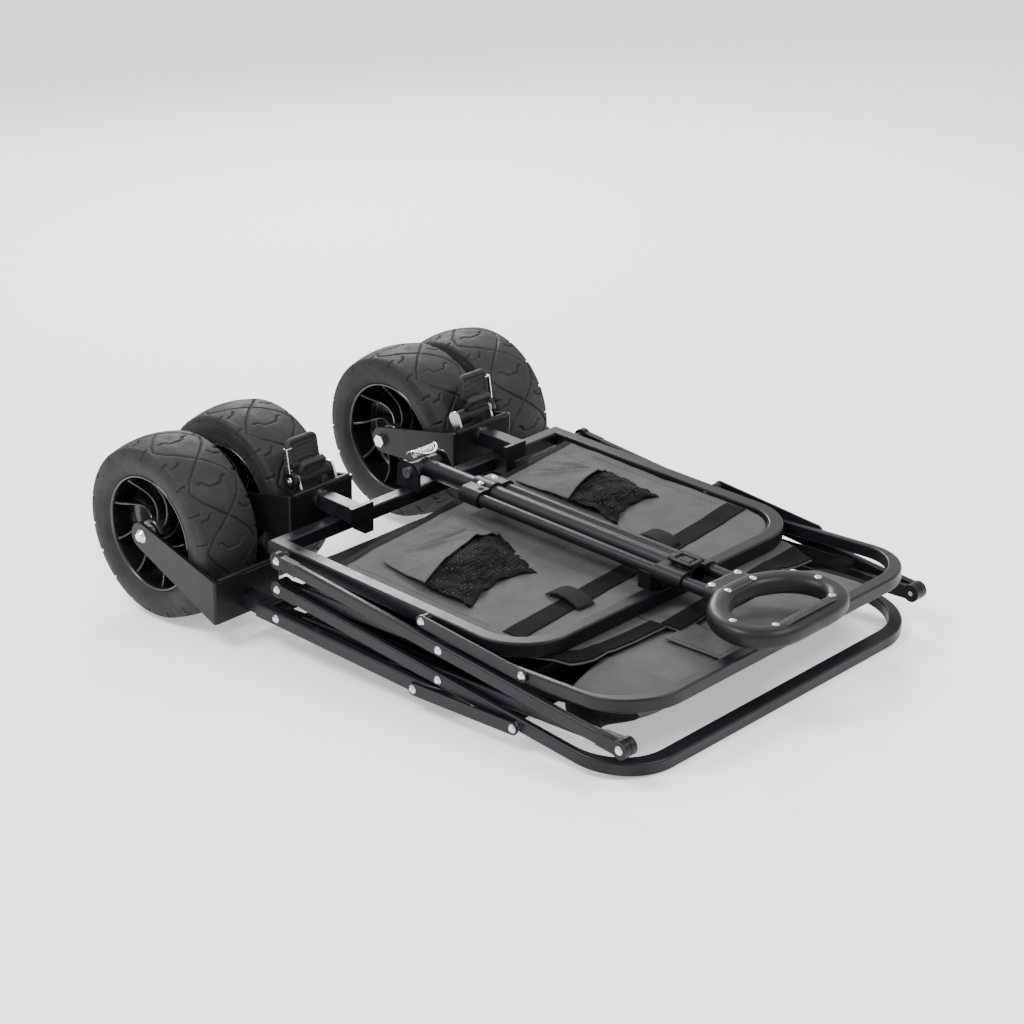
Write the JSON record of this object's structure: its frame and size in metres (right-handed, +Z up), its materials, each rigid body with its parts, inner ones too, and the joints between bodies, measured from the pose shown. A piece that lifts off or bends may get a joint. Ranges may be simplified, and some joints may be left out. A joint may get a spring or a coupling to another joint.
{
  "type": "folding camp wagon",
  "caption": "Fabric camp wagon folded flat: two end frames joined by crossed bars and rails, four broad wheels on forks, sliding pull handle with a loop grip.",
  "frame": {"origin": "on the ground under the middle of the folded wagon, lying on its rear wheels and the end of its rear rail", "axes": "+X from the wheels to the grip, +Y to the wagon's right in use, +Z up as it lies, which is towards the wagon's front"},
  "size_m": [0.889, 0.618, 0.2335],
  "materials": {
    "painted_tube": "satin powder coat",
    "fork_paint": "satin powder coat",
    "black_plastic": "fine grain",
    "grip_plastic": "fine grain",
    "rim_plastic": "satin moulded",
    "tyre": "matt with tread",
    "zinc": "bright zinc plate",
    "grey_fabric": "coated plain weave",
    "black_fabric": "webbing and hook-and-loop tape"
  },
  "bodies": {
    "rear_frame": {"rear_frame": "painted_tube", "rear_fork_stubs": "painted_tube", "fork_rear_left": "fork_paint", "fork_rear_right": "fork_paint", "rear_axles": "zinc", "rear_frame_rivets": "zinc", "rear_bag": "grey_fabric", "tub_folds": "grey_fabric"},
    "rear_bars": {"rear_bar_left": "painted_tube", "rear_bar_right": "painted_tube", "rear_bar_ends": "black_plastic", "rear_bar_rivets": "zinc"},
    "front_bars": {"front_bar_left": "painted_tube", "front_bar_right": "painted_tube", "front_bar_ends": "black_plastic", "front_bar_rivets": "zinc"},
    "front_rail": {"front_rail": "painted_tube", "front_rail_ends": "black_plastic", "front_rail_rivets": "zinc", "tub_roll": "grey_fabric"},
    "rear_rail": {"rear_rail": "painted_tube", "rear_rail_ends": "black_plastic"},
    "front_frame": {"front_frame": "painted_tube", "front_frame_spacers": "black_plastic", "front_frame_rivets": "zinc", "swivel_tubes": "painted_tube", "swivel_caps": "black_plastic", "handle_bracket": "painted_tube", "handle_pin": "zinc", "handle_cradles": "black_plastic", "front_panel": "grey_fabric", "front_pockets": "grey_fabric"},
    "front_links": {"front_links": "painted_tube", "front_link_rivets": "zinc"},
    "rear_links": {"rear_links": "painted_tube", "rear_link_rivets": "zinc"},
    "tub_front": {"tub_hem": "black_fabric"},
    "handle": {"handle_tube": "painted_tube", "handle_collar": "black_plastic"},
    "grip": {"handle_yoke": "black_plastic", "handle_side_tubes": "painted_tube", "handle_grip": "grip_plastic"},
    "caster_left": {"fork_front_left": "fork_paint", "caster_stem_left": "zinc", "axle_front_left": "zinc", "brake_bracket_left": "zinc"},
    "brake_left": {"brake_pedal_left": "black_plastic"},
    "wheel_front_left": {"rim_front_left": "rim_plastic", "tyre_front_left": "tyre"},
    "wheel_rear_left": {"rim_rear_left": "rim_plastic", "tyre_rear_left": "tyre"},
    "caster_right": {"fork_front_right": "fork_paint", "caster_stem_right": "zinc", "axle_front_right": "zinc", "brake_bracket_right": "zinc"},
    "brake_right": {"brake_pedal_right": "black_plastic"},
    "wheel_front_right": {"rim_front_right": "rim_plastic", "tyre_front_right": "tyre"},
    "wheel_rear_right": {"rim_rear_right": "rim_plastic", "tyre_rear_right": "tyre"}
  },
  "joints": [
    {"name": "fold", "type": "hinge", "parent": "rear_frame", "child": "rear_bars", "pos_m": [-0.13867, 0, 0.04666], "axis": [0, -1, 0], "range_deg": [0, 60.09]},
    {"name": "rear_cross", "type": "hinge", "parent": "rear_bars", "child": "rear_rail", "pos_m": [0.12473, 0, 0.04632], "axis": [0, -1, 0], "range_deg": [-108.06, 0]},
    {"name": "top_joint", "type": "hinge", "parent": "rear_bars", "child": "front_bars", "pos_m": [0.38813, 0, 0.04599], "axis": [0, -1, 0], "range_deg": [-108.06, 0]},
    {"name": "front_cross", "type": "hinge", "parent": "front_bars", "child": "front_rail", "pos_m": [0.12731, 0, 0.08273], "axis": [0, -1, 0], "range_deg": [0, 108.06]},
    {"name": "front_fold", "type": "hinge", "parent": "front_bars", "child": "front_frame", "pos_m": [-0.13352, 0, 0.11948], "axis": [0, -1, 0], "range_deg": [0, 60.1]},
    {"name": "front_link", "type": "hinge", "parent": "front_frame", "child": "front_links", "pos_m": [0.09612, 0, 0.10624], "axis": [0, -1, 0], "range_deg": [-103.14, 0]},
    {"name": "rear_link", "type": "hinge", "parent": "rear_frame", "child": "rear_links", "pos_m": [0.09055, 0, 0.02744], "axis": [0, -1, 0], "range_deg": [0, 103.14]},
    {"name": "tub_spread", "type": "hinge", "parent": "rear_frame", "child": "tub_front", "pos_m": [-4.01061, 0, 0.35712], "axis": [0, -1, 0], "range_deg": [0, 12.14], "deforming": ["tub_folds"]},
    {"name": "handle_swing", "type": "hinge", "parent": "front_frame", "child": "handle", "pos_m": [-0.1573, 0, 0.15174], "axis": [0, -1, 0], "range_deg": [0, 110]},
    {"name": "handle_slide", "type": "slide", "parent": "handle", "child": "grip", "axis": [0.9975, 0, -0.0706], "range_m": [0, 0.25]},
    {"name": "caster_left_swivel", "type": "hinge", "parent": "front_frame", "child": "caster_left", "pos_m": [-0.19203, -0.1384, 0.14266], "axis": [0.9975, 0, -0.0706], "range_deg": [-3, 3]},
    {"name": "brake_left_rock", "type": "hinge", "parent": "caster_left", "child": "brake_left", "pos_m": [-0.21004, -0.1384, 0.1715], "axis": [0, -1, 0], "range_deg": [-10, 10]},
    {"name": "wheel_front_left_spin", "type": "hinge", "parent": "caster_left", "child": "wheel_front_left", "pos_m": [-0.32585, -0.1384, 0.12155], "axis": [0, 1, 0], "continuous": true},
    {"name": "wheel_rear_left_spin", "type": "hinge", "parent": "rear_frame", "child": "wheel_rear_left", "pos_m": [-0.33254, -0.254, 0.112], "axis": [0, 1, 0], "continuous": true},
    {"name": "caster_right_swivel", "type": "hinge", "parent": "front_frame", "child": "caster_right", "pos_m": [-0.19203, 0.1384, 0.14266], "axis": [0.9975, 0, -0.0706], "range_deg": [-3, 3]},
    {"name": "brake_right_rock", "type": "hinge", "parent": "caster_right", "child": "brake_right", "pos_m": [-0.21004, 0.1384, 0.1715], "axis": [0, -1, 0], "range_deg": [-10, 10]},
    {"name": "wheel_front_right_spin", "type": "hinge", "parent": "caster_right", "child": "wheel_front_right", "pos_m": [-0.32585, 0.1384, 0.12155], "axis": [0, 1, 0], "continuous": true},
    {"name": "wheel_rear_right_spin", "type": "hinge", "parent": "rear_frame", "child": "wheel_rear_right", "pos_m": [-0.33254, 0.254, 0.112], "axis": [0, 1, 0], "continuous": true}
  ],
  "couplings": [
    {"joint": "rear_cross", "follows": "fold", "ratio": -1.7981},
    {"joint": "top_joint", "follows": "fold", "ratio": -1.7981},
    {"joint": "front_cross", "follows": "fold", "ratio": 1.7981},
    {"joint": "front_fold", "follows": "fold", "ratio": 1},
    {"joint": "front_link", "follows": "fold", "ratio": -1.7161},
    {"joint": "rear_link", "follows": "fold", "ratio": 1.7161},
    {"joint": "tub_spread", "follows": "fold", "ratio": 0.20189}
  ]
}
